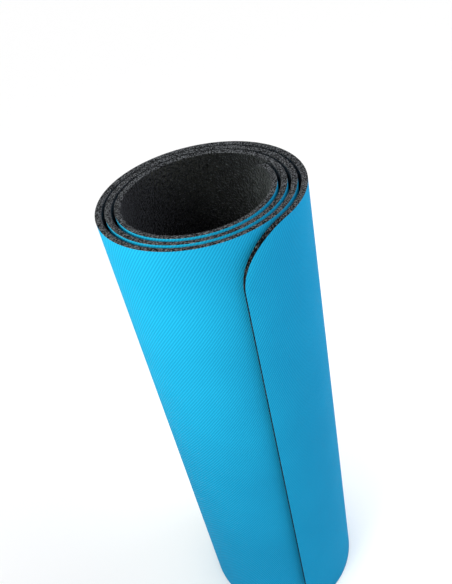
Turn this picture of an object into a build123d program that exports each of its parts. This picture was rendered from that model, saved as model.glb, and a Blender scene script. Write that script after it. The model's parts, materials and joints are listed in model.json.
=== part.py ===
from build123d import *
import os
from math import cos, sin, pi, radians, degrees

# A laminated exercise mat, rolled up and standing on its end. Millimetres and degrees, +Z up along the
# roll. The sheet is one woven face, one foam core and one grained base, bonded together. It is wound with
# the face outwards. The origin is the centre of the roll's bounding box, on the surface it stands on.

# Driving dimensions
SHEET_LENGTH = 1820.0   # unrolled, measured at mid thickness
SHEET_WIDTH = 610.0     # unrolled, and the height of the roll
FACE_THICKNESS = 0.5
CORE_THICKNESS = 4.9
BASE_THICKNESS = 0.6
FREE_CORNER = 52.5      # radius of the two corners at the outer, free end
INNER_CORNER = 44.0     # radius of the two corners at the inner end
WINDING_PITCH = 9.24    # from one turn to the next
WINDING_RADIUS = 99.5   # outer face of the half turn numbered 0
WINDING_SEAM = 60.0     # azimuth where half turns of even and odd number meet
FREE_END = -62.25       # azimuth of the outer end of the sheet
FLAP_SECTIONS = 4       # rigid sections of the free end, which peels off the roll
SECTION_ANGLE = 30.0    # arc that each section covers
HINGE_GAP = 0.3         # between neighbouring sections

# Worked out from the above. Winding angles grow inwards along the sheet, from the free end.
THICKNESS = FACE_THICKNESS + CORE_THICKNESS + BASE_THICKNESS
HALF_TURN = 180.0
LAYERS = {
    "face": (0.0, FACE_THICKNESS),
    "core": (FACE_THICKNESS, FACE_THICKNESS + CORE_THICKNESS),
    "base": (FACE_THICKNESS + CORE_THICKNESS, THICKNESS),
}


def direction(angle):
    return Vector(cos(radians(angle)), sin(radians(angle)))


def half_turn_at(angle):
    """The number of the half turn that holds a winding angle."""
    return int((angle - WINDING_SEAM) // HALF_TURN)


def winding_radius(half_turn):
    """Radius of the sheet's outer face in a half turn. Each is half a pitch smaller than the one before."""
    return WINDING_RADIUS - half_turn * WINDING_PITCH / 2


def free_centre(half_turn):
    """Centre of a half turn, before the roll is moved to its origin: two centres, half a pitch apart."""
    return direction(WINDING_SEAM) * (-(half_turn % 2) * WINDING_PITCH / 2)


def roll_offset():
    """Moves the roll's bounding box onto the Z axis. Half turn -1 reaches furthest right, 0 furthest left
    and back, and 1 furthest forward, where the free end doesn't cover it."""
    right = free_centre(-1).X + winding_radius(-1)
    left = free_centre(0).X - winding_radius(0)
    back = free_centre(0).Y + winding_radius(0)
    front = free_centre(1).Y - winding_radius(1)
    return Vector(-(left + right) / 2, -(front + back) / 2)


ROLL_OFFSET = roll_offset()


def centre(half_turn):
    return free_centre(half_turn) + ROLL_OFFSET


def on_sheet(angle, depth):
    """A point at a winding angle, at a depth below the outer face."""
    half_turn = half_turn_at(angle)
    return centre(half_turn) + direction(angle) * (winding_radius(half_turn) - depth)


def inner_end():
    """The winding angle where the sheet's length is used up."""
    angle, left = FREE_END, SHEET_LENGTH
    while True:
        half_turn = half_turn_at(angle)
        seam = WINDING_SEAM + (half_turn + 1) * HALF_TURN
        radius = winding_radius(half_turn) - THICKNESS / 2
        length = radians(seam - angle) * radius
        if length >= left:
            return angle + degrees(left / radius)
        angle, left = seam, left - length


INNER_END = inner_end()
FLAP_START = FREE_END + FLAP_SECTIONS * SECTION_ANGLE
HALF_GAP_ANGLE = degrees(HINGE_GAP / 2 / winding_radius(half_turn_at(FREE_END)))


def winding_arcs(start, end, depth):
    """Tangent arcs along the sheet, at one depth below its outer face."""
    arcs, angle = [], start
    while angle < end - 1e-6:
        half_turn = half_turn_at(angle + 1e-6)
        seam = min(end, WINDING_SEAM + (half_turn + 1) * HALF_TURN)
        radius = winding_radius(half_turn) - depth
        arcs.append(CenterArc(centre(half_turn), radius, angle, seam - angle))
        angle = seam
    return arcs


def wound_layer(layer, start, end):
    """The solid of one layer between two winding angles."""
    outer_depth, inner_depth = LAYERS[layer]
    outer = winding_arcs(start, end, outer_depth)
    inner = winding_arcs(start, end, inner_depth)
    ends = [Line(outer[0] @ 0, inner[0] @ 0), Line(outer[-1] @ 1, inner[-1] @ 1)]
    return extrude(make_face(Wire(outer + inner + ends)), amount=SHEET_WIDTH, dir=(0, 0, 1))


def corner_cutters(end, inwards, corner):
    """What rounds the two corners of the sheet's end at a winding angle, to a corner radius. inwards is 1
    where the sheet runs from there to larger winding angles, and -1 where it runs to smaller ones."""
    half_turn = half_turn_at(end + inwards * SECTION_ANGLE / 2)
    radius = winding_radius(half_turn) - THICKNESS / 2
    corner_angle = degrees(corner / radius)
    middle = end + inwards * corner_angle / 2
    # Each corner is drawn on a plane square to the roll's radius at its middle: X towards the end of the
    # sheet, and Y up.
    x_dir = direction(middle + 90) * -inwards
    z_dir = x_dir.cross(Vector(0, 0, 1))
    plane = Plane(origin=centre(half_turn), x_dir=x_dir, z_dir=z_dir)
    reach = 2 * WINDING_RADIUS if z_dir.dot(direction(middle)) > 0 else -2 * WINDING_RADIUS
    edge = radius * sin(radians(corner_angle / 2))
    bulge = corner * (1 - sin(pi / 4))
    # A shell about this turn alone keeps the cutters off the turns beside it.
    gap = WINDING_PITCH - THICKNESS
    walls = Circle(radius + (THICKNESS + gap) / 2) - Circle(radius - (THICKNESS + gap) / 2)
    shell = Plane(centre(half_turn) - Vector(0, 0, gap)) * extrude(walls, SHEET_WIDTH + 2 * gap)
    cutters = []
    for rim, up in ((0.0, 1), (SHEET_WIDTH, -1)):
        curve = ThreePointArc(
            (edge - corner, rim),
            (edge - bulge, rim + up * bulge),
            (edge, rim + up * corner),
        )
        outside = Polyline(
            curve @ 1,
            (edge + gap, rim + up * corner),
            (edge + gap, rim - up * gap),
            (edge - corner, rim - up * gap),
            curve @ 0,
        )
        cutters.append(extrude(plane * make_face(curve + outside), reach) & shell)
    return cutters


def roll(layer):
    """The wound body of the mat, from where the free end is hinged to the inner end."""
    solid = wound_layer(layer, FLAP_START + HALF_GAP_ANGLE, INNER_END)
    return solid - corner_cutters(INNER_END, -1, INNER_CORNER)


def flap_section(layer, number):
    """One section of the free end. Number 1 is next to the roll, and the last one has the free edge."""
    hinge = FLAP_START - (number - 1) * SECTION_ANGLE
    last = number == FLAP_SECTIONS
    end = FREE_END if last else hinge - SECTION_ANGLE + HALF_GAP_ANGLE
    solid = wound_layer(layer, end, hinge - HALF_GAP_ANGLE)
    return solid - corner_cutters(FREE_END, 1, FREE_CORNER) if last else solid


def save(name, shape):
    solids = shape.solids()
    assert len(solids) == 1, f"{name} has {len(solids)} solids"
    export_step(solids[0], f"parts/{name}.step")


os.makedirs("parts", exist_ok=True)
for layer in LAYERS:
    save(f"roll_{layer}", roll(layer))
    for number in range(1, FLAP_SECTIONS + 1):
        save(f"flap_{number}_{layer}", flap_section(layer, number))

print("inner end at", round(INNER_END, 2), "roll offset", ROLL_OFFSET)
for number in range(1, FLAP_SECTIONS + 1):
    print("hinge", number, on_sheet(FLAP_START - (number - 1) * SECTION_ANGLE, 0))
for half_turn in (0, 1):
    print("centre of half turn", half_turn, centre(half_turn))
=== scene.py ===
"""A laminated exercise mat, rolled up and standing on its end. Metres and radians, in the CAD model's frame.

Every layer of the sheet is one grid, laid out flat and wound up point by point. A place on the flat sheet is
(along, up, depth): along is measured at mid thickness from the free end, up from the lower edge, and depth
from the woven face. The materials read the flat place, so a pattern runs on from piece to piece and stays
with the sheet when its free end is peeled open.
"""
import json
import math

import bpy
import numpy as np
from mathutils import Matrix, Vector, noise


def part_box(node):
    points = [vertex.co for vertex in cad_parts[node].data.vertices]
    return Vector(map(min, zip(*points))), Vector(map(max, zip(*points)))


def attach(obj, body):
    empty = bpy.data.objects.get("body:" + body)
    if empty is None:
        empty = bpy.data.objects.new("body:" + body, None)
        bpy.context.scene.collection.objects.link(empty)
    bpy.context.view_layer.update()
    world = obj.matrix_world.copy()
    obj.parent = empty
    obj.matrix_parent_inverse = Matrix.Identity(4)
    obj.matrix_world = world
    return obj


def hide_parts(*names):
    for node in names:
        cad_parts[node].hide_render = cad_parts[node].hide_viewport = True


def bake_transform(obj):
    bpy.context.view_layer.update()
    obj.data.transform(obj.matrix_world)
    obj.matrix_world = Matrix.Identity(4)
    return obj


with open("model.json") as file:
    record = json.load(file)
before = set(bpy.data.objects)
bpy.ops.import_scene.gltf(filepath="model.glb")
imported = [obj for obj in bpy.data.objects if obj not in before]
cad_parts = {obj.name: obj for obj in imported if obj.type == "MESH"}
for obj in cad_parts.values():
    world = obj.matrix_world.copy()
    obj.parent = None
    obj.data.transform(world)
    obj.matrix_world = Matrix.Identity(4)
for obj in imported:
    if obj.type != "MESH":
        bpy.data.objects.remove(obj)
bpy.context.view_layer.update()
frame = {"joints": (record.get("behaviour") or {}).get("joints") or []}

# Driving dimensions, the same as the CAD model's
SHEET_LENGTH = 1.820
FREE_CORNER = 0.0525
INNER_CORNER = 0.044
FACE_THICKNESS = 0.0005
CORE_THICKNESS = 0.0049
BASE_THICKNESS = 0.0006
WINDING_PITCH = 0.00924
WINDING_RADIUS = 0.0995
WINDING_SEAM = math.radians(60)
FREE_END = math.radians(-62.25)
SECTION_ANGLE = math.radians(30)
FLAP_SECTIONS = len(frame["joints"])

# Worked out from them and from the frame
SHEET_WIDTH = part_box("roll_core")[1].z
CORE_TOP = FACE_THICKNESS
CORE_BOTTOM = FACE_THICKNESS + CORE_THICKNESS
THICKNESS = CORE_BOTTOM + BASE_THICKNESS
HINGES = [Vector(joint["pos_m"]) for joint in frame["joints"]]
FLAP_RADIUS = WINDING_RADIUS + WINDING_PITCH / 2
SECTION_LENGTH = SECTION_ANGLE * (FLAP_RADIUS - THICKNESS / 2)

# How far along the sheet each hinge is, and the free end after them
SHEET_AT_HINGE = [(FLAP_SECTIONS - number) * SECTION_LENGTH for number in range(FLAP_SECTIONS + 1)]

# How finely the sheet is divided
COLUMN = 0.0015             # length of a column of the grid
ROWS = 30                   # from the lower edge to the upper one
CORNER_STEPS = 36           # round each corner
FOAM_STEPS = 7              # across the cut edge
BASE_STEPS = 3

# The cut edge
EDGE_ROUNDING = 0.0003      # of the woven face
FOAM_ROUGHNESS = 0.00016    # depth of the torn cells
FOAM_GRAIN = 0.0016         # size of the torn cells
EDGE_PINCH = 0.0009         # how far the edge stands back on the dark side
PINCH_START = 0.5           # where that begins, as a share of the thickness

SHARP_ANGLE = math.radians(50)
NUDGE = 1e-4                # a short step, to find which way is outwards
TINY = 1e-9

FLAT_PLACE = "flat_place"   # the mesh attribute that holds each point's flat place


# --- Winding -------------------------------------------------------------------------------------------

def direction(angle):
    return np.stack([np.cos(angle), np.sin(angle)], -1)


def centres():
    """The two centres of the winding, from where the CAD model puts its first hinge."""
    hinge_angle = FREE_END + FLAP_SECTIONS * SECTION_ANGLE
    outer = np.array(HINGES[0].xy) - direction(hinge_angle) * FLAP_RADIUS
    return [outer + direction(WINDING_SEAM) * WINDING_PITCH / 2, outer]


CENTRES = centres()


def winding_angle(along):
    """The winding angle, which grows inwards from the free end, at each distance along the sheet."""
    angles, distances = [FREE_END], [0.0]
    half_turn = -1
    while distances[-1] < SHEET_LENGTH:
        seam = WINDING_SEAM + (half_turn + 1) * math.pi
        radius = WINDING_RADIUS - half_turn * WINDING_PITCH / 2 - THICKNESS / 2
        distances.append(distances[-1] + (seam - angles[-1]) * radius)
        angles.append(seam)
        half_turn += 1
    return np.interp(along, distances, angles)


def wound(flat):
    """Where each flat place (along, up, depth) is on the roll."""
    along, up, depth = flat[:, 0], flat[:, 1], flat[:, 2]
    angle = winding_angle(along)
    half_turn = np.floor((angle - WINDING_SEAM) / math.pi + TINY).astype(int)
    radius = WINDING_RADIUS - half_turn * WINDING_PITCH / 2 - depth
    centre = np.array(CENTRES)[half_turn % 2]
    return np.column_stack([centre + direction(angle) * radius[:, None], up])


# --- Meshes --------------------------------------------------------------------------------------------

def around(grid):
    """What lies round the outline of a grid, in order, as one closed loop."""
    return np.concatenate([grid[:, 0], grid[-1, 1:], grid[-2::-1, -1], grid[0, -2:0:-1]])


class Stretch:
    """A length of the sheet, as a grid with columns across the sheet and rows along it. An end with a corner
    radius is an end of the sheet, and one without is where the next stretch begins."""

    def __init__(self, start, end, start_corner=0.0, end_corner=0.0):
        self.length = end - start
        first, last = start + start_corner, end - end_corner
        steps = max(1, round((last - first) / COLUMN))
        # The upper end of each column is turned about a pivot, from 90 degrees, which is straight above it.
        # Only in the corners is the radius more than zero.
        pivots = [np.linspace(first, last, steps + 1)]
        radii = [np.zeros(steps + 1)]
        turns = [np.full(steps + 1, 90.0)]
        corner = np.linspace(0, 90, CORNER_STEPS, endpoint=False)
        if start_corner > 0:
            pivots.insert(0, np.full(CORNER_STEPS, first))
            radii.insert(0, np.full(CORNER_STEPS, start_corner))
            turns.insert(0, 180 - corner)
        if end_corner > 0:
            pivots.append(np.full(CORNER_STEPS, last))
            radii.append(np.full(CORNER_STEPS, end_corner))
            turns.append(corner[::-1])
        self.pivots = np.concatenate(pivots)
        self.radii = np.concatenate(radii)
        self.turns = np.radians(np.concatenate(turns))

    def grid(self, inset):
        """Flat places (along, up) by column and row, with the outline moved inwards."""
        along = self.pivots + (self.radii - inset) * np.cos(self.turns)
        rise = SHEET_WIDTH / 2 - self.radii + (self.radii - inset) * np.sin(self.turns)
        share = np.linspace(-1, 1, ROWS + 1)
        up = SHEET_WIDTH / 2 + rise[:, None] * share[None, :]
        return np.stack([np.broadcast_to(along[:, None], up.shape), up], -1)


def at_depth(places, depth):
    """Flat places (along, up, depth), one to a row."""
    places = places.reshape(-1, 2)
    return np.column_stack([places, np.full(len(places), depth)])


def torn(loop, stretch, inset):
    """A loop round the cut edge, with foam cells torn out of it. The relief hangs on the flat place alone,
    so it is the same on every run and joins up from stretch to stretch."""
    relief = np.array([noise.noise(Vector(place)) for place in loop / FOAM_GRAIN])
    outwards = loop[:, :2] - around(stretch.grid(inset + NUDGE))
    outwards /= np.maximum(np.linalg.norm(outwards, axis=1), TINY)[:, None]
    depth_of_cells = (relief * FOAM_ROUGHNESS - FOAM_ROUGHNESS)[:, None]
    return np.column_stack([loop[:, :2] + outwards * depth_of_cells, loop[:, 2]])


def wall_quads(numbers):
    """The faces of a grid, from the numbers of its points by column and row."""
    corners = [numbers[:-1, :-1], numbers[1:, :-1], numbers[1:, 1:], numbers[:-1, 1:]]
    return np.stack(corners, -1).reshape(-1, 4)


def layer_mesh(name, stretch, profile, rough):
    """A closed mesh. profile lists (inset, depth) from the outer wall to the inner one, and rough says
    whether the loops between the two walls are torn foam."""
    columns, rows = len(stretch.pivots), ROWS + 1
    wall_size = columns * rows
    walls = [at_depth(stretch.grid(inset), depth) for inset, depth in (profile[0], profile[-1])]
    loops = []
    for inset, depth in profile[1:-1]:
        loop = at_depth(around(stretch.grid(inset)), depth)
        loops.append(torn(loop, stretch, inset) if rough else loop)
    flat = np.concatenate(walls + loops)

    numbers = np.arange(wall_size).reshape(columns, rows)
    outer_quads = wall_quads(numbers)
    inner_quads = outer_quads[:, [0, 3, 2, 1]] + wall_size
    ring = around(numbers)
    rings = [ring]
    for count in range(len(loops)):
        rings.append(2 * wall_size + count * len(ring) + np.arange(len(ring)))
    rings.append(ring + wall_size)
    edge_quads = []
    for near, far in zip(rings, rings[1:]):
        edge_quads.append(np.stack([near, far, np.roll(far, -1), np.roll(near, -1)], -1))
    faces = np.concatenate([outer_quads, inner_quads, *edge_quads])

    mesh = bpy.data.meshes.new(name)
    mesh.from_pydata(wound(flat).tolist(), [], faces.tolist())
    place = mesh.attributes.new(FLAT_PLACE, "FLOAT_VECTOR", "POINT")
    place.data.foreach_set("vector", flat.astype(np.float32).ravel())
    # Material 0 is the two walls', and material 1 the cut edge's.
    kind = np.zeros(len(faces), np.int32)
    kind[2 * len(outer_quads):] = 1
    mesh.polygons.foreach_set("material_index", kind)
    mesh.validate()
    mesh.update()
    mesh.shade_smooth()
    mesh.set_sharp_from_angle(angle=SHARP_ANGLE)
    return mesh


def pinch(depth):
    """How far the cut edge stands back at a depth. Cutting pinched it towards the blue side."""
    share = max(0.0, depth / THICKNESS - PINCH_START) / (1 - PINCH_START)
    return EDGE_PINCH * share ** 2


def profile_of(layer):
    """(inset, depth) from the outer wall of a layer to its inner wall."""
    if layer == "face":
        middle = EDGE_ROUNDING * 0.3    # half way round the quarter circle
        return [(EDGE_ROUNDING, 0), (middle, middle), (0, EDGE_ROUNDING), (0, CORE_TOP)]
    if layer == "core":
        depths = np.linspace(CORE_TOP, CORE_BOTTOM, FOAM_STEPS + 1)
    else:
        depths = np.linspace(CORE_BOTTOM, THICKNESS, BASE_STEPS + 1)
    return [(pinch(depth), depth) for depth in depths]


# --- Materials -----------------------------------------------------------------------------------------

class Nodes:
    """A short way to write a node material."""

    def __init__(self, name):
        self.material = bpy.data.materials.new(name)
        self.material.use_nodes = True
        self.tree = self.material.node_tree
        self.shader = self.tree.nodes["Principled BSDF"]

    def add(self, kind, inputs=None, **settings):
        node = self.tree.nodes.new(kind)
        for key, value in settings.items():
            setattr(node, key, value)
        for key, value in (inputs or {}).items():
            self.put(node.inputs[key], value)
        return node

    def put(self, socket, value):
        if isinstance(value, bpy.types.NodeSocket):
            self.tree.links.new(value, socket)
        else:
            socket.default_value = value

    def math(self, operation, *values):
        node = self.add("ShaderNodeMath", operation=operation)
        for socket, value in zip(node.inputs, values):
            self.put(socket, value)
        return node.outputs[0]

    def weighted(self, *parts):
        """The sum of (value, weight) pairs."""
        total = None
        for value, weight in reversed(parts):
            product = self.math("MULTIPLY", value, weight)
            total = product if total is None else self.math("ADD", product, total)
        return total

    def wave(self, count):
        """0 between two threads and 1 in the middle of each."""
        return self.math("ABSOLUTE", self.math("SINE", self.math("MULTIPLY", count, math.pi)))

    def place(self):
        return self.add("ShaderNodeAttribute", attribute_name=FLAT_PLACE).outputs["Vector"]

    def split(self, vector):
        return self.add("ShaderNodeSeparateXYZ", {"Vector": vector}).outputs

    def scaled(self, vector, scale):
        return self.add("ShaderNodeMapping", {"Vector": vector, "Scale": scale}).outputs[0]

    def noise(self, vector, scale, detail=2.0, roughness=0.5):
        """Smooth noise. Where the vector is in metres, scale is how many lumps there are to a metre."""
        inputs = {"Vector": vector, "Scale": scale, "Detail": detail, "Roughness": roughness}
        return self.add("ShaderNodeTexNoise", inputs).outputs["Fac"]

    def ramp(self, factor, stops):
        node = self.add("ShaderNodeValToRGB", {"Fac": factor})
        elements = node.color_ramp.elements
        while len(elements) < len(stops):
            elements.new(0.5)
        for element, (position, colour) in zip(elements, stops):
            element.position = position
            element.color = (*colour, 1)
        return node.outputs["Color"]

    def bump(self, height, distance):
        inputs = {"Height": height, "Distance": distance, "Strength": 1.0}
        return self.add("ShaderNodeBump", inputs).outputs[0]

    def finish(self, **inputs):
        for key, value in inputs.items():
            self.put(self.shader.inputs[key.replace("_", " ")], value)
        return self.material


# Twill: a diagonal rib to every four warp threads and every four weft threads
WARP_PITCH = 0.00076
WEFT_PITCH = 0.00100
RIB_THREADS = 4
WARP_SWAY = 0.004           # how far the warp threads wander
# FACE_VALLEY_PAINTED_SHADE is painted shade: the twill is coloured darker down between the threads and ribs.
FACE_VALLEY_PAINTED_SHADE = (0.005, 0.162, 0.330)
FACE_RIB = (0.012, 0.314, 0.568)
FACE_RELIEF = 0.00024


def woven_face():
    """Blue twill. Fine threads cross, and where the warp lies on top it makes diagonal ribs."""
    n = Nodes("woven_face")
    place = n.place()
    along, up, _ = n.split(place)
    sway = n.noise(place, 7.0)
    warp_count = n.math("DIVIDE", n.math("MULTIPLY_ADD", sway, WARP_SWAY, along), WARP_PITCH)
    weft_count = n.math("DIVIDE", up, WEFT_PITCH)
    offset = n.math("SUBTRACT", warp_count, weft_count)
    ribs = n.math("SINE", n.math("MULTIPLY", offset, 2 * math.pi / RIB_THREADS))
    warp_on_top = n.math("MULTIPLY_ADD", ribs, 0.5, 0.5)
    warp, weft = n.wave(warp_count), n.math("MULTIPLY", n.wave(weft_count), 0.6)
    threads = n.add("ShaderNodeMix", {"Factor": warp_on_top, "A": weft, "B": warp}).outputs[0]
    height = n.weighted((warp_on_top, 0.6), (threads, 0.4))
    patches = n.noise(place, 12.0, detail=3.0)
    lint = n.noise(n.scaled(place, (1, 0.35, 1)), 2600.0, detail=1.0)
    tone = n.weighted((height, 0.52), (patches, 0.20), (lint, 0.20))
    # The tone follows the relief height, so the valleys get painted shade on top of the twill's own ribs,
    # patches and lint.
    return n.finish(Base_Color=n.ramp(tone, [(0.15, FACE_VALLEY_PAINTED_SHADE), (0.80, FACE_RIB)]),
                    Roughness=0.6, Specular_IOR_Level=0.01, Normal=n.bump(height, FACE_RELIEF))


# Foam: long cells, which lean along the sheet and up it
CELL_SIZE = (0.0011, 0.0011, 0.0030)
CELL_LEAN = (0, 1.01, 0.785)
FOAM_FREE_END_DARKENING = 0.080        # how far the tone falls near the free end
# FOAM_HOLE_PAINTED_SHADE is painted shade: the hollows of the open cells are coloured nearly black.
FOAM_HOLE_PAINTED_SHADE = (0.001, 0.001, 0.0015)
FOAM_CELL = (0.016, 0.0165, 0.0195)
FOAM_WALL = (0.122, 0.126, 0.141)
FOAM_RELIEF = 0.0030


def cut_foam():
    """Raw cut edge. Torn cells stand open, and lean the way that the knife went. Round the free end's
    corners and down its edge the tone is darker."""
    n = Nodes("cut_foam")
    place = n.place()
    lean = {"Vector": place, "Rotation": CELL_LEAN, "Scale": CELL_SIZE}
    leaning = n.add("ShaderNodeMapping", lean, vector_type="TEXTURE").outputs[0]
    cells = n.noise(leaning, 1.0, roughness=0.6)
    blotches = n.noise(place, 90.0)
    tone = n.weighted((cells, 0.92), (blotches, 0.08))
    # The tone is darker near the free end, round its corners and down its edge.
    corner = {"Value": n.split(place)["X"], "From Min": FREE_CORNER * 1.25, "From Max": FREE_CORNER * 0.5,
              "To Max": FOAM_FREE_END_DARKENING}
    darker_near_free_end = n.add("ShaderNodeMapRange", corner).outputs[0]
    # Low tone is a hollow, so the colour is darkest where shade would fall: painted shade over the foam's
    # mottling.
    colour = n.ramp(n.math("SUBTRACT", tone, darker_near_free_end),
                    [(0.452, FOAM_HOLE_PAINTED_SHADE), (0.50, FOAM_CELL), (0.578, FOAM_WALL)])
    return n.finish(Base_Color=colour, Roughness=0.95, Specular_IOR_Level=0.05,
                    Normal=n.bump(tone, FOAM_RELIEF))


# Skin: pebbles a little longer up the sheet than along it
PEBBLES_PER_METRE = (530, 360, 530)
PEBBLE_BEND = 0.0030        # how far their outlines wander
# SKIN_CREASE_PAINTED_SHADE is painted shade: the skin is coloured darker down in the creases between the
# pebbles.
SKIN_CREASE_PAINTED_SHADE = (0.001, 0.0011, 0.0016)
SKIN_PEBBLE = (0.0055, 0.0060, 0.0080)
SKIN_SHEEN = (0.78, 0.84, 1.0, 1.0)
SKIN_RELIEF = 0.0040


def grained_base():
    """Near-black skin, embossed with a leather grain of small domed pebbles."""
    n = Nodes("grained_base")
    place = n.place()
    bend = n.add("ShaderNodeTexNoise", {"Vector": place, "Scale": 300.0, "Detail": 2.0}).outputs["Color"]
    shift = n.add("ShaderNodeVectorMath", {0: bend, 1: (PEBBLE_BEND,) * 3}, operation="MULTIPLY").outputs[0]
    bent = n.add("ShaderNodeVectorMath", {0: shift, 1: place}, operation="ADD").outputs[0]
    cells = {"Vector": n.scaled(bent, PEBBLES_PER_METRE), "Scale": 1.0}
    crease = n.add("ShaderNodeTexVoronoi", cells, feature="F1").outputs["Distance"]
    pebbles = n.math("SUBTRACT", 1.0, crease)
    swell = n.noise(place, 420.0)
    fine = n.noise(place, 1500.0, detail=1.0)
    height = n.weighted((pebbles, 0.75), (swell, 0.6), (fine, 0.12))
    # The colour follows the relief height, so the creases get painted shade on top of the grain.
    return n.finish(Base_Color=n.ramp(height, [(0.60, SKIN_CREASE_PAINTED_SHADE), (1.05, SKIN_PEBBLE)]),
                    Roughness=0.42, Specular_IOR_Level=0.22, Sheen_Weight=0.10, Sheen_Roughness=0.25,
                    Sheen_Tint=SKIN_SHEEN, Normal=n.bump(height, SKIN_RELIEF))


# --- The mat -------------------------------------------------------------------------------------------

def add_piece(name, mesh, materials):
    piece = bpy.data.objects.new(name, mesh)
    bpy.context.scene.collection.objects.link(piece)
    for material in materials:
        mesh.materials.append(material)
    return piece


def make_layer(layer, section, stretch, wall_material, edge_material):
    """One layer of one stretch. Section 0 is the roll, and the others are the flap's."""
    node = f"flap_{section}_{layer}" if section else f"roll_{layer}"
    mesh = layer_mesh(node + "_looks", stretch, profile_of(layer), rough=layer == "core")
    piece = add_piece(node + "_looks", mesh, [wall_material, edge_material])
    if section:
        end = Vector(wound(np.array([[SHEET_AT_HINGE[section], 0, 0]]))[0])
        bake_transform(piece)
    else:
        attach(piece, "roll")
    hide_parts(node)
    return piece


def stretch_of(section):
    if section == 0:
        return Stretch(SHEET_AT_HINGE[0], SHEET_LENGTH, end_corner=INNER_CORNER)
    corner = FREE_CORNER if section == FLAP_SECTIONS else 0.0
    return Stretch(SHEET_AT_HINGE[section], SHEET_AT_HINGE[section - 1], start_corner=corner)


def make_mat():
    foam = cut_foam()
    walls = {"face": woven_face(), "core": foam, "base": grained_base()}
    for section in range(FLAP_SECTIONS + 1):
        stretch = stretch_of(section)
        pieces = {layer: make_layer(layer, section, stretch, wall, foam) for layer, wall in walls.items()}


# --- Studio --------------------------------------------------------------------------------------------

CAMERA_PLACE = Vector((0.1395, -0.5023, 0.8825))
CAMERA_HEADING = math.radians(15.28)
CAMERA_TILT = math.radians(-37.26)
CAMERA_ROLL = math.radians(-13.04)
CAMERA_LENS = 38.36
CAMERA_NEAREST = 0.01

FLOOR_HALF = 8.0
FLOOR_COLOUR = (0.95, 0.95, 0.95, 1)
SURROUND_COLOUR = (1, 1, 1, 1)
SURROUND_STRENGTH = 1.05
LIGHT_AIM = 0.75            # height that the lights are aimed at, as a share of the roll's


def make_camera():
    data = bpy.data.cameras.new("camera")
    data.lens = CAMERA_LENS
    data.clip_start = CAMERA_NEAREST
    camera = bpy.data.objects.new("camera", data)
    heading = Matrix.Rotation(CAMERA_HEADING, 4, "Z")
    tilt = Matrix.Rotation(math.pi / 2 + CAMERA_TILT, 4, "X")
    roll = Matrix.Rotation(CAMERA_ROLL, 4, "Z")
    camera.matrix_world = Matrix.Translation(CAMERA_PLACE) @ (heading @ tilt @ roll)
    bpy.context.scene.collection.objects.link(camera)
    bpy.context.scene.camera = camera


def make_floor():
    half = FLOOR_HALF
    corners = [(-half, -half, 0), (half, -half, 0), (half, half, 0), (-half, half, 0)]
    mesh = bpy.data.meshes.new("floor")
    mesh.from_pydata(corners, [], [(0, 1, 2, 3)])
    material = Nodes("floor").finish(Base_Color=FLOOR_COLOUR, Roughness=0.9, Specular_IOR_Level=0.1)
    add_piece("floor", mesh, [material])


def make_softbox(name, heading, height, distance, size, spread, power, colour):
    """A round soft light, aimed at the upper part of the roll. heading, height and spread are in degrees."""
    aim = Vector((0, 0, SHEET_WIDTH * LIGHT_AIM))
    heading, height = math.radians(heading), math.radians(height)
    level = math.cos(height)
    away = Vector((math.cos(heading) * level, math.sin(heading) * level, math.sin(height)))
    data = bpy.data.lights.new(name, "AREA")
    data.shape = "DISK"
    data.size = size
    data.spread = math.radians(spread)
    data.energy = power
    data.color = colour
    light = bpy.data.objects.new(name, data)
    light.location = aim + away * distance
    light.rotation_euler = away.to_track_quat("Z", "Y").to_euler()
    bpy.context.scene.collection.objects.link(light)


def make_light():
    scene = bpy.context.scene
    world = bpy.data.worlds.new("studio")
    world.use_nodes = True
    background = world.node_tree.nodes["Background"]
    background.inputs["Color"].default_value = SURROUND_COLOUR
    background.inputs["Strength"].default_value = SURROUND_STRENGTH
    scene.world = world
    scene.view_settings.view_transform = "Standard"
    make_softbox("key", heading=-122, height=30, distance=0.62, size=0.4, spread=70, power=1.02,
                 colour=(0.90, 0.98, 0.76))
    make_softbox("fill", heading=20, height=35, distance=0.80, size=0.6, spread=180, power=2.9,
                 colour=(0.91, 0.96, 1.0))


make_camera()
make_floor()
make_light()
make_mat()
